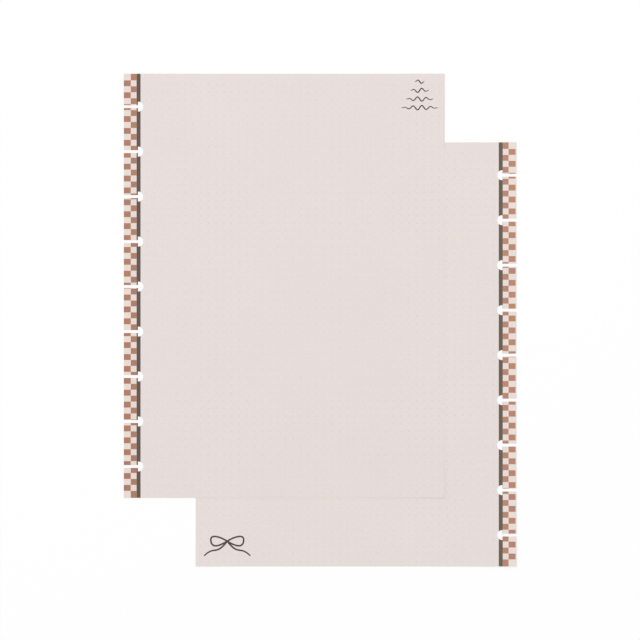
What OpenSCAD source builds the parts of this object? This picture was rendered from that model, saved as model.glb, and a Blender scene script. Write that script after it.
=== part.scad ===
// Refill paper for a disc-bound planner: two loose dotted sheets, printed on both sides.
// The upper sheet lies face up. The lower one is turned over, so that its back shows,
// and lies further right and further down. The discs hold a sheet by its notched edge.
// Origin: the middle of the pair seen from above, on the surface that it lies on.
// +X is to the right, +Y up the page and +Z up from the surface. Millimetres.

/* [Sheets] */
// Width of one sheet, from the punched edge to the outer edge
sheet_w = 177.8; // [150:0.1:216]
// Height of one sheet, from its bottom edge to its top edge
sheet_h = 234.95; // [225:0.05:300]
// Thickness of the paper
paper_t = 0.15; // [0.1:0.01:0.4]
// How far the lower sheet lies to the right of the upper one
shift_x = 39.8; // [15:0.1:120]
// How far the lower sheet lies below the upper one on the page
shift_y = 38; // [25:0.1:150]

/* [Punched notches] */
// Number of notches along the punched edge
notch_count = 9; // [1:1:9]
// Spacing of the notches along the edge
notch_pitch = 24.92; // [14:0.02:26]
// Distance from the top edge to the middle of the first notch
notch_top = 18.2; // [6:0.1:30]
// Width of the slot that opens each notch to the edge
slot_w = 1.6; // [0.8:0.1:3]
// Distance from the punched edge to the centre of a notch's round head
head_x = 8.05; // [5:0.05:14]
// Radius of the head
head_r = 2.75; // [2:0.05:4]
// Distance from the head's centre to its flat side, which faces the edge
head_flat = 0.25; // [0:0.05:1]

/* [Printed border] */
// Height of a check
check_h = 3.296; // [2:0.001:8]
// Height of the topmost row of checks, which runs off the top edge
top_check_h = 3.65; // [1:0.05:8]
// Width of the outer column of checks
outer_col_w = 3.9; // [2:0.05:6]
// Width of the inner column of checks
inner_col_w = 3.2; // [2:0.05:6]
// Width of the plain stripe beside the checks
stripe_w = 2.25; // [1:0.05:6]
// Where the print on the face begins, in from the punched edge; below 0 it runs off that edge
face_start = -0.05; // [-1:0.05:3]
// Where the print on the back begins, in from the punched edge
back_start = 0.55; // [-1:0.05:3]
// Bare paper left between one field of ink and the next
ink_gap = 0.04; // [0.02:0.01:0.2]
// How deep the ink lies in the paper
ink_t = 0.02; // [0.01:0.005:0.04]

/* [Bow on the back] */
// Distance from the outer edge to the bow's knot
bow_side = 17.5; // [14:0.1:60]
// Distance from the bottom edge to the bow's knot
bow_bottom = 14; // [10:0.1:60]
// Width of one loop of the bow
bow_loop_w = 9.1; // [5:0.1:12]
// Height of one loop of the bow
bow_loop_h = 5.2; // [3:0.1:8]
// How far a ribbon end reaches sideways from the knot
bow_tail_w = 12.6; // [8:0.1:13]
// How far a ribbon end drops below the knot
bow_tail_h = 7.9; // [5:0.1:9]
// Width of the bow's pen line
bow_line = 0.94; // [0.3:0.02:1.2]

/* [Waves on the face] */
// Number of wavy pen lines in the corner
wave_count = 4; // [1:1:4]
// Distance from the outer edge to the waves' middle
wave_side = 13.9; // [12:0.1:60]
// Distance from the top edge to the waves' middle
wave_top = 11.6; // [10:0.1:60]
// Full turns of the longest wave, at the bottom; each wave above it has one turn fewer
wave_turns = 4; // [4:1:5]
// Length of one full turn of a wave
wave_turn = 4.9; // [4.4:0.1:5.5]
// Distance from one wave to the next
wave_pitch = 4.8; // [3:0.1:5.6]
// Height of a wave from trough to crest, halfway along it
wave_h = 2.4; // [0.5:0.1:3]
// Width of the waves' pen line
wave_line = 0.7; // [0.2:0.02:0.9]

/* [Hidden] */

paper_colour = [0.90, 0.86, 0.85];
check_colour = [0.73, 0.54, 0.46];
stripe_colour = [0.36, 0.33, 0.31];
pen_colour = [0.33, 0.28, 0.27];

pair_w = sheet_w + shift_x;
pair_h = sheet_h + shift_y;
cut_over = 1;
arc_steps = 64;
curve_steps = 16;
steps_per_turn = 16;
// How thin a wave and a ribbon end at their tips, as a share of the pen line's width
wave_tip = 0.55;
ribbon_tip = 0.8;
// Steps of a pen line's round tip
tip_steps = 8;

function last(list) = list[len(list) - 1];
function turned_back(list) = [for (i = [len(list) - 1:-1:0]) list[i]];
function mirrored(points) = [for (p = points) [-p.x, p.y]];

// A pen line is a list of marks. Each mark is a point, the direction across the line
// there, and half the line's width there.
function mark(point, way, half_w) = [point, [-way.y, way.x] / norm(way), half_w];

// A cubic curve through the first and last of its four control points, and its heading
function bezier(c, t) =
    pow(1 - t, 3) * c[0] + 3 * pow(1 - t, 2) * t * c[1]
    + 3 * (1 - t) * pow(t, 2) * c[2] + pow(t, 3) * c[3];
function heading(c, t) =
    pow(1 - t, 2) * (c[1] - c[0]) + 2 * (1 - t) * t * (c[2] - c[1]) + pow(t, 2) * (c[3] - c[2]);

// A pen line along a cubic curve, thinned near its end to a share of its width
function curved_line(c, w, end_share = 1) = [
    for (i = [0:curve_steps])
        let (t = i / curve_steps)
        mark(bezier(c, t), heading(c, t), w / 2 * (1 - (1 - end_share) * pow(t, 3)))
];

// A wavy pen line on the middle of its length, flat and thin at its ends
function wavy_line(turns) = [
    for (s = [0:turns * steps_per_turn])
        let (
            x = (s / steps_per_turn - turns / 2) * wave_turn,
            along = 180 * s / (turns * steps_per_turn),
            turn = 360 * s / steps_per_turn,
            slope_turn = 360 * cos(turn) * sin(along) / wave_turn,
            slope_swell = 180 * sin(turn) * cos(along) / (turns * wave_turn),
            slope = (slope_turn + slope_swell) * PI / 180 * wave_h / 2
        )
        mark(
            [x, sin(turn) * sin(along) * wave_h / 2],
            [1, slope],
            wave_line / 2 * (wave_tip + (1 - wave_tip) * sin(along))
        )
];

// The outline of a pen line: one side, its end, the other side, its start
function side_of(line, hand) = [for (m = line) m[0] + hand * m[2] * m[1]];
function round_end(m, hand) = [
    for (k = [1:tip_steps - 1])
        let (a = 180 * k / tip_steps)
        m[0] + hand * m[2] * (cos(a) * m[1] + sin(a) * [m[1].y, -m[1].x])
];
function outline(line, round_start, round_last) = concat(
    side_of(line, 1),
    round_last ? round_end(last(line), 1) : [],
    turned_back(side_of(line, -1)),
    round_start ? round_end(line[0], -1) : []
);

// Where a side's print and its plain stripe begin, in from the punched edge
function print_x(side) = side == "back" ? back_start : face_start;
function stripe_x(side) = print_x(side) + outer_col_w + inner_col_w;

// Rows of checks, counted down from the top edge. The last one takes what is left.
row_count = 1 + round((sheet_h - top_check_h) / check_h);
function row_top(i) = i == 0 ? 0 : i == row_count ? sheet_h : top_check_h + (i - 1) * check_h;

// One sheet: the punched edge at x = 0, the bottom edge at y = 0, the face at z = paper_t

module notches(low, high) {
    for (i = [0:notch_count - 1])
        translate([0, sheet_h - notch_top - i * notch_pitch, low]) {
            translate([-cut_over, -slot_w / 2, 0])
                cube([head_x + cut_over, slot_w, high - low]);
            intersection() {
                translate([head_x, 0, 0])
                    cylinder(r = head_r, h = high - low, $fn = arc_steps);
                translate([head_x - head_flat, -head_r, 0])
                    cube([head_flat + head_r, 2 * head_r, high - low]);
            }
        }
}

// The layer that a side's ink fills, or with over > 0 the cut that makes room for it
module ink_layer(side, over) {
    low = side == "back" ? -over : paper_t - ink_t;
    translate([0, 0, low])
        linear_extrude(ink_t + over)
            children();
}

// A field of ink between two distances from the punched edge and two from the top edge,
// kept off its neighbours, and running off the sheet where it meets the sheet's edge
module field(x_low, x_high, y_low, y_high, over) {
    left = x_low <= 0 ? -over : x_low + ink_gap / 2;
    top = y_low <= 0 ? -over : y_low + ink_gap / 2;
    bottom = y_high >= sheet_h ? sheet_h + over : y_high - ink_gap / 2;
    translate([left, sheet_h - bottom])
        square([x_high - ink_gap / 2 - left, bottom - top]);
}

module check_fields(side, over = 0) {
    middle = print_x(side) + outer_col_w;
    ink_layer(side, over)
        for (i = [0:row_count - 1]) {
            inner = i % 2 == 0;
            x_low = inner ? middle : print_x(side);
            x_high = inner ? stripe_x(side) : middle;
            field(x_low, x_high, row_top(i), row_top(i + 1), over);
        }
}

module stripe_field(side, over = 0) {
    ink_layer(side, over)
        field(stripe_x(side), stripe_x(side) + stripe_w, 0, sheet_h, over);
}

// The bow's knot is at the origin. A pen line runs from one loop's far end over that loop's
// upper half, through the knot and under the other loop's lower half, and another line is its
// mirror image. A ribbon end hangs from the knot on each side.
module bow_drawing(over = 0) {
    knot = [0, 0];
    knot_handle = [0.45 * bow_loop_w, 0.5 * bow_loop_h];
    loop_end = [bow_loop_w, 0.17 * bow_loop_h];
    above = [knot, knot_handle, [bow_loop_w, 0.75 * bow_loop_h], loop_end];
    below = [knot, [knot_handle.x, -knot_handle.y], [bow_loop_w, -0.87 * bow_loop_h], loop_end];
    ribbon = [
        knot,
        [0.5 * bow_tail_w, -1.05 * bow_tail_h],
        [0.55 * bow_tail_w, -0.3 * bow_tail_h],
        [bow_tail_w, -bow_tail_h]
    ];
    upper_half = curved_line(turned_back(mirrored(above)), bow_line);
    lower_half = curved_line(below, bow_line);
    loops = concat(upper_half, [for (i = [1:curve_steps]) lower_half[i]]);
    translate([sheet_w - bow_side, bow_bottom, 0])
        ink_layer("back", over)
            for (turn = [0, 1])
                mirror([turn, 0, 0]) {
                    polygon(outline(loops, false, false));
                    polygon(outline(curved_line(ribbon, bow_line, ribbon_tip), false, true));
                }
}

module wave_drawing(over = 0) {
    middle = (wave_count - 1) / 2;
    translate([sheet_w - wave_side, sheet_h - wave_top, 0])
        ink_layer("face", over)
            for (i = [0:wave_count - 1])
                translate([0, (i - middle) * wave_pitch])
                    polygon(outline(wavy_line(wave_turns - i), true, true));
}

module sheet() {
    difference() {
        cube([sheet_w, sheet_h, paper_t]);
        notches(-cut_over, paper_t + cut_over);
        for (side = ["face", "back"]) {
            check_fields(side, cut_over);
            stripe_field(side, cut_over);
        }
        wave_drawing(cut_over);
        bow_drawing(cut_over);
    }
}

module checks() {
    difference() {
        for (side = ["face", "back"])
            check_fields(side);
        notches(-cut_over, paper_t + cut_over);
    }
}

module stripes() {
    difference() {
        for (side = ["face", "back"])
            stripe_field(side);
        notches(-cut_over, paper_t + cut_over);
    }
}

// Where the two sheets lie

module face_up_above() {
    translate([-pair_w / 2, pair_h / 2 - sheet_h, paper_t])
        children();
}

module turned_over_below() {
    translate([pair_w / 2, -pair_h / 2, paper_t])
        rotate([0, 180, 0])
            children();
}

module upper_sheet() { color(paper_colour) face_up_above() sheet(); }
module upper_checks() { color(check_colour) face_up_above() checks(); }
module upper_stripes() { color(stripe_colour) face_up_above() stripes(); }
module upper_waves() { color(pen_colour) face_up_above() wave_drawing(); }
module upper_bow() { color(pen_colour) face_up_above() bow_drawing(); }
module lower_sheet() { color(paper_colour) turned_over_below() sheet(); }
module lower_checks() { color(check_colour) turned_over_below() checks(); }
module lower_stripes() { color(stripe_colour) turned_over_below() stripes(); }
module lower_waves() { color(pen_colour) turned_over_below() wave_drawing(); }
module lower_bow() { color(pen_colour) turned_over_below() bow_drawing(); }

upper_sheet();
upper_checks();
upper_stripes();
upper_waves();
upper_bow();
lower_sheet();
lower_checks();
lower_stripes();
lower_waves();
lower_bow();
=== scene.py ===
import math

import bmesh
import bpy
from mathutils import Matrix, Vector
from mathutils.bvhtree import BVHTree


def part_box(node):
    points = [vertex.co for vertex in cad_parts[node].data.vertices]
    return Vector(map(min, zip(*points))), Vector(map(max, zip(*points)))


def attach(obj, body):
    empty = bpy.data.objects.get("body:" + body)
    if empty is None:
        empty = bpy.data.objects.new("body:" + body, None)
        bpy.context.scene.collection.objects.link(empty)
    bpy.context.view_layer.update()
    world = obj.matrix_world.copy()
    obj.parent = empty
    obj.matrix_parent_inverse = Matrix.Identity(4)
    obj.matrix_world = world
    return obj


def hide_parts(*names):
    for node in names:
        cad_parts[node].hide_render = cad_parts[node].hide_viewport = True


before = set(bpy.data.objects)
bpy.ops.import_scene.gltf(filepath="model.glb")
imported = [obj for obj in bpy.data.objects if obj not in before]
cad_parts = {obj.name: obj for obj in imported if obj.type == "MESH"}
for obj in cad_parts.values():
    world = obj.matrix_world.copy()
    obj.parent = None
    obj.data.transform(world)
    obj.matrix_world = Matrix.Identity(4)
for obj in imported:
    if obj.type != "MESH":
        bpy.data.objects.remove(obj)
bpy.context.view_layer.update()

# Two refill sheets for a disc-bound planner, laid flat on white. Lengths are in metres.
MM = 0.001

# The photograph's width, its scale, and where the middle of the pair lies in it, in pixels
PHOTO_PIXELS = 640
METRES_PER_PIXEL = 0.554 * MM
PAIR_MIDDLE = (320.2, 320.1)
CAMERA_HEIGHT = 1.0

# The strength of the light from all round, and the lamp's place, width and power in watts.
# Together they light a level white surface at about 1, so that a colour renders about as
# it is written.
AMBIENT = 0.74
LAMP_PLACE = Vector((-0.48, 1.05, 2.16))
LAMP_SIZE = 1.2
LAMP_POWER = 18.2

# The floor's width, how far it lies below the sheets, and the share of it that is bright by
# itself where the camera sees it
FLOOR_SIZE = 30.0
FLOOR_DROP = 0.05 * MM
FLOOR_GLOW = 0.7

# The colour of the floor, of the background and of the light from all round
WHITE = (1, 1, 1, 1)

# Colours as they are seen, from 0 to 255
PAGE_ON_FACE = (231, 220.5, 217.5)
PAGE_ON_BACK = (231.6, 221.9, 218.8)
PAGE_CORE = (240, 235, 230)
LIGHT_CHECK_ON_FACE = (233, 220, 212.5)
LIGHT_CHECK_ON_BACK = (235.5, 222.3, 215.3)
CHECK_ON_FACE = (172.5, 125.2, 101.6)
CHECK_ON_BACK = (182.6, 133.8, 110)
STRIPE_ON_FACE = (94, 82.3, 75.7)
STRIPE_ON_BACK = (103.2, 90.9, 79.2)
PEN = (78, 66, 62)
DOT = (190, 179, 174)

# The dot grid, measured from a sheet's punched edge and its top edge. A dot stands proud of
# the paper and reaches a little way into it.
DOT_COLUMNS = 39
DOT_ROWS = 54
DOT_PITCH = 4.268 * MM
FIRST_COLUMN = 12.78 * MM
FIRST_ROW = 6.1 * MM
DOT_RADIUS = 0.18 * MM
DOT_SIDES = 8
DOT_PROUD = 0.006 * MM
DOT_SUNK = 0.004 * MM

# The border's two columns of checks, measured from the punched edge, on the face and on the back
CHECKS_ON_FACE = (-0.05 * MM, 7.05 * MM)
CHECKS_ON_BACK = (0.55 * MM, 7.65 * MM)

# The distance over which the upper sheet comes down to the lower one's level, beside it
SAG_REACH = 30 * MM

# Corners that stand off: side, end, how high they stand and how far the curl reaches
CURLS = {
    "upper": (
        ("left", "top", 0.6 * MM, 45 * MM),
        ("right", "top", 0.7 * MM, 40 * MM),
        ("left", "bottom", 0.5 * MM, 35 * MM),
        ("right", "bottom", 0.2 * MM, 32 * MM),
    ),
    "lower": (
        ("right", "top", 0.5 * MM, 26 * MM),
        ("right", "bottom", 0.9 * MM, 50 * MM),
        ("left", "bottom", 0.5 * MM, 26 * MM),
    ),
}

# The step of the grid of edges that lets a flat face bend, the angle from which an edge stays
# sharp, and how near each other two points are taken as one
GRID_STEP = 3 * MM
SHARP_ANGLE = math.radians(30)
WELD = 0.0001 * MM

# How large the clouds, the mottle and the fibres are, in the paper and in the ink
PAPER_CLOUD = 45 * MM
PAPER_MOTTLE = 1.6 * MM
PAPER_FIBRE = 0.35 * MM
INK_MOTTLE = 0.8 * MM
INK_FIBRE = 0.3 * MM

# How many finer layers of noise the mottle and an ink's drift have
MOTTLE_DETAIL = 3
DRIFT_DETAIL = 1

# How far a fibre is drawn out, up the page and across it
FIBRE_UP = (1, 4, 1)
FIBRE_ACROSS = (3.5, 1, 1)

# The span of a noise's values over which the tone or the roughness changes
BLOTCH_SPAN = (0.3, 0.7)
DRIFT_SPAN = (0.35, 0.65)
FIBRE_SPAN = (0.4, 0.75)
INK_FIBRE_SPAN = (0.55, 0.8)

# Factors on the colour, from the low end of those values to the high end
CLOUD_TONES = (0.993, 1.007)
MOTTLE_TONES = (0.99, 1.01)
FIBRE_TONES = (0.985, 1.012)
CORE_TONES = (0.94, 1.03)
INK_MOTTLE_TONES = (0.97, 1.03)
INK_FIBRE_TONES = (1, 1.12)

# The band along a sheet's edges that is made a little darker with painted shade, and its
# factors, both from the edge inwards
EDGE_SHADE_BAND = (0, 0.6 * MM)
EDGE_SHADE_TONES = (0.99, 1)

# Gloss, the span of the roughness, and the bump's depth and strength. In the paper's bump the
# mottle counts for less than the fibres.
PAPER_SPECULAR = 0.2
PAPER_ROUGHNESS = (0.82, 0.93)
PAPER_BUMP = (0.02 * MM, 0.5)
MOTTLE_IN_BUMP = 0.6
INK_SPECULAR = 0.25
INK_ROUGHNESS = (0.62, 0.78)
INK_BUMP = (0.012 * MM, 0.4)

# A normal that stands less upright than this is a cut edge's
UPRIGHT = 0.5

# Warm ink has more red and less blue than its tone, and cool ink has less red and green and
# more blue. These are the shifts of the blue and the green, as shares of the red's shift.
BLUE_SHIFT = 1.5
GREEN_SHIFT = 0.5

# The solids of a sheet, the names of the pieces that stand for them, and their finishes
PARTS = (
    ("sheet", "page", "paper"),
    ("checks", "page_checks", "check_ink"),
    ("stripes", "page_stripe", "stripe_ink"),
    ("waves", "page_waves", "pen_ink"),
    ("bow", "page_bow", "pen_ink"),
)

# A Mix node's sockets when it mixes colours. Its sockets for other kinds have the same names.
MIX_FIRST = 6
MIX_SECOND = 7
MIX_RESULT = 2


def make_camera():
    data = bpy.data.cameras.new("Camera")
    data.type = "ORTHO"
    data.ortho_scale = PHOTO_PIXELS * METRES_PER_PIXEL
    camera = bpy.data.objects.new("Camera", data)
    bpy.context.scene.collection.objects.link(camera)
    half = PHOTO_PIXELS / 2
    right = (half - PAIR_MIDDLE[0]) * METRES_PER_PIXEL
    up = (PAIR_MIDDLE[1] - half) * METRES_PER_PIXEL
    camera.location = (right, up, CAMERA_HEIGHT)
    bpy.context.scene.camera = camera


class Sheet:
    """One of the two sheets: where it lies, which way up, and how it is bent."""

    def __init__(self, name, face_up, under=None):
        self.name = name
        self.face_up = face_up
        self.under = under
        self.low, self.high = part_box(name + "_sheet")

    def from_punched_edge(self, distance):
        """The x of a line at a distance in from the punched edge."""
        if self.face_up:
            return self.low.x + distance
        return self.high.x - distance

    def curl(self, x, y):
        """How high the curled corners stand at a point. Each bends about a line across it."""
        height = 0.0
        for side, end, rise, reach in CURLS[self.name]:
            corner_x = self.low.x if side == "left" else self.high.x
            corner_y = self.low.y if end == "bottom" else self.high.y
            distance = (abs(x - corner_x) + abs(y - corner_y)) / math.sqrt(2)
            height += rise * max(0.0, 1 - distance / reach) ** 2
        return height

    def sag(self, x, y):
        """How far the sheet comes down beside the one that lies under it."""
        if self.under is None:
            return 0.0
        outside = max(self.under.low.x - x, y - self.under.high.y, 0.0)
        share = min(1.0, outside / SAG_REACH)
        return self.low.z * share * share * (3 - 2 * share)

    def lift(self, x, y):
        return self.curl(x, y) - self.sag(x, y)


def link_piece(name, mesh, material):
    piece = bpy.data.objects.new(name, mesh)
    bpy.context.scene.collection.objects.link(piece)
    mesh.materials.clear()
    mesh.materials.append(material)
    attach(piece, "root")
    return piece


def cut_along_grid(bm, low, high):
    """Adds the grid's edges to every face that they cross."""
    for axis in (0, 1):
        normal = Vector((0, 0, 0))
        normal[axis] = 1
        for i in range(1, math.ceil((high[axis] - low[axis]) / GRID_STEP)):
            place = Vector(low)
            place[axis] += i * GRID_STEP
            everything = bm.verts[:] + bm.edges[:] + bm.faces[:]
            bmesh.ops.bisect_plane(bm, geom=everything, dist=WELD, plane_co=place, plane_no=normal)


def bent_mesh(node, sheet):
    """A copy of a solid's mesh that follows the sheet's bend."""
    bm = bmesh.new()
    bm.from_mesh(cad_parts[node].data)
    bmesh.ops.remove_doubles(bm, verts=bm.verts, dist=WELD)
    cut_along_grid(bm, sheet.low, sheet.high)
    bmesh.ops.dissolve_degenerate(bm, edges=bm.edges, dist=WELD)
    for vertex in bm.verts:
        vertex.co.z += sheet.lift(vertex.co.x, vertex.co.y)
    for edge in bm.edges:
        edge.smooth = edge.is_manifold and edge.calc_face_angle() < SHARP_ANGLE
    for face in bm.faces:
        face.smooth = True
    mesh = bpy.data.meshes.new(node)
    bm.to_mesh(mesh)
    bm.free()
    # Normals that came with the solid don't fit the bent mesh
    if "custom_normal" in mesh.attributes:
        mesh.attributes.remove(mesh.attributes["custom_normal"])
    return mesh


def make_part_of_sheet(sheet, part, name, material):
    node = f"{sheet.name}_{part}"
    piece = link_piece(f"{sheet.name}_{name}", bent_mesh(node, sheet), material)
    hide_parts(node)


def add_dot(corners, faces, x, y, z):
    """A low round plate that stands on z."""
    start = len(corners)
    turn = 2 * math.pi / DOT_SIDES
    for height in (z, z + DOT_PROUD + DOT_SUNK):
        for i in range(DOT_SIDES):
            across = DOT_RADIUS * math.cos(i * turn)
            along = DOT_RADIUS * math.sin(i * turn)
            corners.append((x + across, y + along, height))
    faces.append([start + i for i in reversed(range(DOT_SIDES))])
    faces.append([start + DOT_SIDES + i for i in range(DOT_SIDES)])
    for i in range(DOT_SIDES):
        j = (i + 1) % DOT_SIDES
        faces.append([start + i, start + j, start + DOT_SIDES + j, start + DOT_SIDES + i])


def pen_lines(sheet):
    """The surfaces of a sheet's pen drawings, for finding what lies near them."""
    trees = []
    for part in ("waves", "bow"):
        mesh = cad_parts[f"{sheet.name}_{part}"].data
        corners = [v.co for v in mesh.vertices]
        trees.append(BVHTree.FromPolygons(corners, [p.vertices for p in mesh.polygons]))
    return trees


def make_dots(sheet, material):
    """The dot grid on both sides of a sheet, left out where a pen line runs."""
    corners, faces = [], []
    drawings = pen_lines(sheet)
    for column in range(DOT_COLUMNS):
        x = sheet.from_punched_edge(FIRST_COLUMN + column * DOT_PITCH)
        for row in range(DOT_ROWS):
            y = sheet.high.y - FIRST_ROW - row * DOT_PITCH
            bend = sheet.lift(x, y)
            for surface, base in ((sheet.high.z, -DOT_SUNK), (sheet.low.z, -DOT_PROUD)):
                place = Vector((x, y, surface))
                if not any(drawing.find_nearest(place, DOT_RADIUS)[0] for drawing in drawings):
                    add_dot(corners, faces, x, y, surface + base + bend)
    mesh = bpy.data.meshes.new(f"{sheet.name}_page_dots")
    mesh.from_pydata(corners, [], faces)
    link_piece(f"{sheet.name}_page_dots", mesh, material)


def linear(tone):
    """A colour as seen, from 0 to 255, as the shader wants it. This is the sRGB curve."""
    shares = [channel / 255 for channel in tone]
    return [s / 12.92 if s <= 0.04045 else ((s + 0.055) / 1.055) ** 2.4 for s in shares]


def tinted(tone, red, green, blue):
    return (tone[0] * red, tone[1] * green, tone[2] * blue)


class Finish:
    """A material's nodes, with short calls for the steps that the finishes share."""

    def __init__(self, name, specular):
        self.material = bpy.data.materials.new(name)
        self.material.use_nodes = True
        self.tree = self.material.node_tree
        self.shader = self.tree.nodes["Principled BSDF"]
        self.shader.inputs["Specular IOR Level"].default_value = specular
        self.place = self.node("TexCoord").outputs["Object"]
        self.normal = self.node("NewGeometry").outputs["Normal"]

    def node(self, kind, **settings):
        node = self.tree.nodes.new("ShaderNode" + kind)
        for name, value in settings.items():
            setattr(node, name, value)
        return node

    def feed(self, socket, value):
        if isinstance(value, bpy.types.NodeSocket):
            self.tree.links.new(value, socket)
        elif hasattr(value, "__len__") and len(value) == 3 and socket.type == "RGBA":
            socket.default_value = (*value, 1)
        else:
            socket.default_value = value

    def calculate(self, operation, *values):
        node = self.node("Math", operation=operation)
        for socket, value in zip(node.inputs, values):
            self.feed(socket, value)
        return node.outputs["Value"]

    def part(self, vector, axis):
        node = self.node("SeparateXYZ")
        self.feed(node.inputs["Vector"], vector)
        return node.outputs[axis]

    def noise(self, size, detail=2, stretch=(1, 1, 1)):
        """Blotches about size across, from 0 to 1, drawn out by stretch."""
        mapping = self.node("Mapping")
        self.feed(mapping.inputs["Vector"], self.place)
        mapping.inputs["Scale"].default_value = [1 / (size * s) for s in stretch]
        noise = self.node("TexNoise")
        self.feed(noise.inputs["Vector"], mapping.outputs["Vector"])
        noise.inputs["Scale"].default_value = 1
        noise.inputs["Detail"].default_value = detail
        return noise.outputs["Fac"]

    def fibres(self, size):
        """Fibres about size thick, some up the page and some across it."""
        up = self.noise(size, stretch=FIBRE_UP)
        across = self.noise(size, stretch=FIBRE_ACROSS)
        return self.calculate("MAXIMUM", up, across)

    def between(self, value, low, high):
        """1 where a value lies between two others, and 0 elsewhere."""
        above = self.calculate("GREATER_THAN", value, low)
        below = self.calculate("LESS_THAN", value, high)
        return self.calculate("MULTIPLY", above, below)

    def depth_inside(self, value, low, high):
        """How far a value lies from the nearer of two others."""
        from_low = self.calculate("SUBTRACT", value, low)
        from_high = self.calculate("SUBTRACT", high, value)
        return self.calculate("MINIMUM", from_low, from_high)

    def ramp(self, value, span, results):
        """A value turned from one span of numbers to another, and held at its ends."""
        node = self.node("MapRange")
        for name, number in (
            ("Value", value),
            ("From Min", span[0]),
            ("From Max", span[1]),
            ("To Min", results[0]),
            ("To Max", results[1]),
        ):
            self.feed(node.inputs[name], number)
        return node.outputs["Result"]

    def mix(self, share, first, second):
        node = self.node("Mix", data_type="RGBA")
        self.feed(node.inputs["Factor"], share)
        self.feed(node.inputs[MIX_FIRST], first)
        self.feed(node.inputs[MIX_SECOND], second)
        return node.outputs[MIX_RESULT]

    def scaled(self, colour, *factors):
        """A colour made lighter or darker by one factor after another."""
        for factor in factors:
            node = self.node("VectorMath", operation="SCALE")
            self.feed(node.inputs["Vector"], colour)
            self.feed(node.inputs["Scale"], factor)
            colour = node.outputs["Vector"]
        return colour

    def on_face(self, sheet):
        """1 on the sheet's face, and 0 on its back."""
        up = self.part(self.normal, "Z")
        return self.calculate("GREATER_THAN" if sheet.face_up else "LESS_THAN", up, 0)

    def close(self, colour, roughness, height, bump_depth, bump_strength):
        """Gives the shader its colour, its roughness and a bump that follows a height."""
        bump = self.node("Bump")
        bump.inputs["Strength"].default_value = bump_strength
        bump.inputs["Distance"].default_value = bump_depth
        self.feed(bump.inputs["Height"], height)
        self.feed(self.shader.inputs["Base Color"], colour)
        self.feed(self.shader.inputs["Roughness"], roughness)
        self.feed(self.shader.inputs["Normal"], bump.outputs["Normal"])
        return self.material


def page_colour(finish, sheet, x):
    """The paper's tone on the side that is seen, creamier in the border's light checks."""
    sides = []
    for page, light_check, columns in (
        (PAGE_ON_BACK, LIGHT_CHECK_ON_BACK, CHECKS_ON_BACK),
        (PAGE_ON_FACE, LIGHT_CHECK_ON_FACE, CHECKS_ON_FACE),
    ):
        lines = sorted(sheet.from_punched_edge(distance) for distance in columns)
        in_columns = finish.between(x, *lines)
        sides.append(finish.mix(in_columns, linear(page), linear(light_check)))
    return finish.mix(finish.on_face(sheet), *sides)


def paper_finish(sheet):
    """Uncoated paper: fibres, faint clouds, painted shade along the edges and a lighter core at
    the cut edges.
    """
    finish = Finish(f"{sheet.name}_paper", PAPER_SPECULAR)
    clouds = finish.noise(PAPER_CLOUD)
    mottle = finish.noise(PAPER_MOTTLE, MOTTLE_DETAIL)
    fibres = finish.fibres(PAPER_FIBRE)

    x = finish.part(finish.place, "X")
    y = finish.part(finish.place, "Y")
    from_sides = finish.depth_inside(x, sheet.low.x, sheet.high.x)
    from_ends = finish.depth_inside(y, sheet.low.y, sheet.high.y)
    from_edge = finish.calculate("MINIMUM", from_sides, from_ends)
    surface = finish.scaled(
        page_colour(finish, sheet, x),
        finish.ramp(clouds, BLOTCH_SPAN, CLOUD_TONES),
        finish.ramp(mottle, BLOTCH_SPAN, MOTTLE_TONES),
        finish.ramp(fibres, FIBRE_SPAN, FIBRE_TONES),
        # Painted shade: a band along the sheet's edges is made a little darker
        finish.ramp(from_edge, EDGE_SHADE_BAND, EDGE_SHADE_TONES),
    )
    core = finish.scaled(linear(PAGE_CORE), finish.ramp(fibres, FIBRE_SPAN, CORE_TONES))
    upright = finish.calculate("ABSOLUTE", finish.part(finish.normal, "Z"))
    is_cut = finish.calculate("LESS_THAN", upright, UPRIGHT)
    colour = finish.mix(is_cut, surface, core)

    roughness = finish.ramp(mottle, BLOTCH_SPAN, PAPER_ROUGHNESS)
    mottle_height = finish.calculate("MULTIPLY", mottle, MOTTLE_IN_BUMP)
    height = finish.calculate("ADD", fibres, mottle_height)
    return finish.close(colour, roughness, height, *PAPER_BUMP)


def ink_finish(sheet, name, on_face, on_back, patch, shift, fade=0):
    """Ink in paper: it drifts between a warmer and a cooler tone, and the fibres show through.

    The warm and cool patches are about patch across, and their red shifts by shift of itself.
    The ink is lighter by fade at the top of the page, and as much darker at the bottom.
    """
    finish = Finish(f"{sheet.name}_{name}", INK_SPECULAR)
    drift = finish.ramp(finish.noise(patch, DRIFT_DETAIL), DRIFT_SPAN, (0, 1))
    mottle = finish.noise(INK_MOTTLE, MOTTLE_DETAIL)
    fibres = finish.fibres(INK_FIBRE)

    sides = []
    for tone in (on_back, on_face):
        warm = tinted(tone, 1 + shift, 1, 1 - BLUE_SHIFT * shift)
        cool = tinted(tone, 1 - shift, 1 - GREEN_SHIFT * shift, 1 + BLUE_SHIFT * shift)
        sides.append(finish.mix(drift, linear(warm), linear(cool)))
    y = finish.part(finish.place, "Y")
    colour = finish.scaled(
        finish.mix(finish.on_face(sheet), *sides),
        finish.ramp(mottle, BLOTCH_SPAN, INK_MOTTLE_TONES),
        finish.ramp(fibres, INK_FIBRE_SPAN, INK_FIBRE_TONES),
        finish.ramp(y, (sheet.low.y, sheet.high.y), (1 - fade, 1 + fade)),
    )
    roughness = finish.ramp(mottle, BLOTCH_SPAN, INK_ROUGHNESS)
    return finish.close(colour, roughness, fibres, *INK_BUMP)


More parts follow.
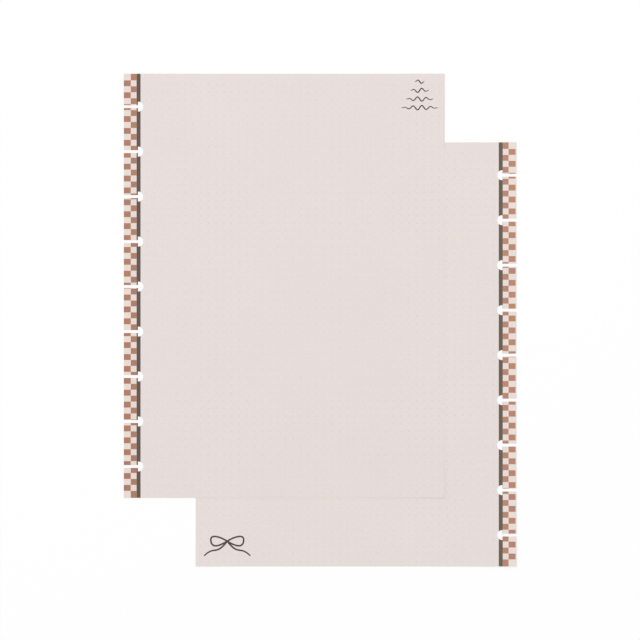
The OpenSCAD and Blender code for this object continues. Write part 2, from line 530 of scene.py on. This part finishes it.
def seen_directly(tree):
    """1 for what the camera sees, itself or in a mirror or through glass, and 0 for the light."""
    path = tree.nodes.new("ShaderNodeLightPath")
    total = path.outputs["Is Camera Ray"]
    for name in ("Is Glossy Ray", "Is Transmission Ray"):
        either = tree.nodes.new("ShaderNodeMath")
        either.operation = "MAXIMUM"
        tree.links.new(total, either.inputs[0])
        tree.links.new(path.outputs[name], either.inputs[1])
        total = either.outputs["Value"]
    return total


def mix_shaders(tree, share, first, second):
    mix = tree.nodes.new("ShaderNodeMixShader")
    for socket, source in zip(mix.inputs, (share, first, second)):
        tree.links.new(source, socket)
    return mix.outputs["Shader"]


def make_world():
    """Even light from all round, in front of a plain white background."""
    world = bpy.data.worlds.new("World")
    bpy.context.scene.world = world
    world.use_nodes = True
    tree = world.node_tree
    tree.nodes.clear()
    light = tree.nodes.new("ShaderNodeBackground")
    light.inputs["Strength"].default_value = AMBIENT
    background = tree.nodes.new("ShaderNodeBackground")
    for node in (light, background):
        node.inputs["Color"].default_value = WHITE
    surface = mix_shaders(
        tree, seen_directly(tree), light.outputs["Background"], background.outputs["Background"]
    )
    out = tree.nodes.new("ShaderNodeOutputWorld")
    tree.links.new(surface, out.inputs["Surface"])


def make_lamp():
    data = bpy.data.lights.new("Lamp", "AREA")
    data.shape = "DISK"
    data.size = LAMP_SIZE
    data.energy = LAMP_POWER
    lamp = bpy.data.objects.new("Lamp", data)
    bpy.context.scene.collection.objects.link(lamp)
    lamp.location = LAMP_PLACE
    lamp.rotation_euler = (-LAMP_PLACE).to_track_quat("-Z", "Y").to_euler()


def floor_material():
    """White, and partly bright by itself where the camera sees it. It keeps the sheets' shadow."""
    material = bpy.data.materials.new("floor")
    material.use_nodes = True
    tree = material.node_tree
    tree.nodes.clear()
    matt = tree.nodes.new("ShaderNodeBsdfDiffuse")
    glow = tree.nodes.new("ShaderNodeEmission")
    for node in (matt, glow):
        node.inputs["Color"].default_value = WHITE
    share = tree.nodes.new("ShaderNodeMath")
    share.operation = "MULTIPLY"
    share.inputs[1].default_value = FLOOR_GLOW
    tree.links.new(seen_directly(tree), share.inputs[0])
    surface = mix_shaders(
        tree, share.outputs["Value"], matt.outputs["BSDF"], glow.outputs["Emission"]
    )
    out = tree.nodes.new("ShaderNodeOutputMaterial")
    tree.links.new(surface, out.inputs["Surface"])
    return material


def make_floor():
    half = FLOOR_SIZE / 2
    outline = ((-half, -half), (half, -half), (half, half), (-half, half))
    corners = [(x, y, -FLOOR_DROP) for x, y in outline]
    mesh = bpy.data.meshes.new("floor")
    mesh.from_pydata(corners, [], [(0, 1, 2, 3)])
    mesh.materials.append(floor_material())
    floor = bpy.data.objects.new("floor", mesh)
    bpy.context.scene.collection.objects.link(floor)


def make_sheet(sheet):
    finishes = {
        "paper": paper_finish(sheet),
        "check_ink": ink_finish(
            sheet, "check_ink", CHECK_ON_FACE, CHECK_ON_BACK, patch=5 * MM, shift=0.03, fade=0.035
        ),
        "stripe_ink": ink_finish(
            sheet, "stripe_ink", STRIPE_ON_FACE, STRIPE_ON_BACK, patch=30 * MM, shift=0.02
        ),
        "pen_ink": ink_finish(sheet, "pen_ink", PEN, PEN, patch=4 * MM, shift=0.015),
        "dot_ink": ink_finish(sheet, "dot_ink", DOT, DOT, patch=15 * MM, shift=0.01),
    }
    for part, name, slot in PARTS:
        make_part_of_sheet(sheet, part, name, finishes[slot])
    make_dots(sheet, finishes["dot_ink"])


make_camera()
bpy.context.scene.view_settings.view_transform = "Standard"
make_world()
make_lamp()
make_floor()
lower = Sheet("lower", face_up=False)
upper = Sheet("upper", face_up=True, under=lower)
make_sheet(lower)
make_sheet(upper)
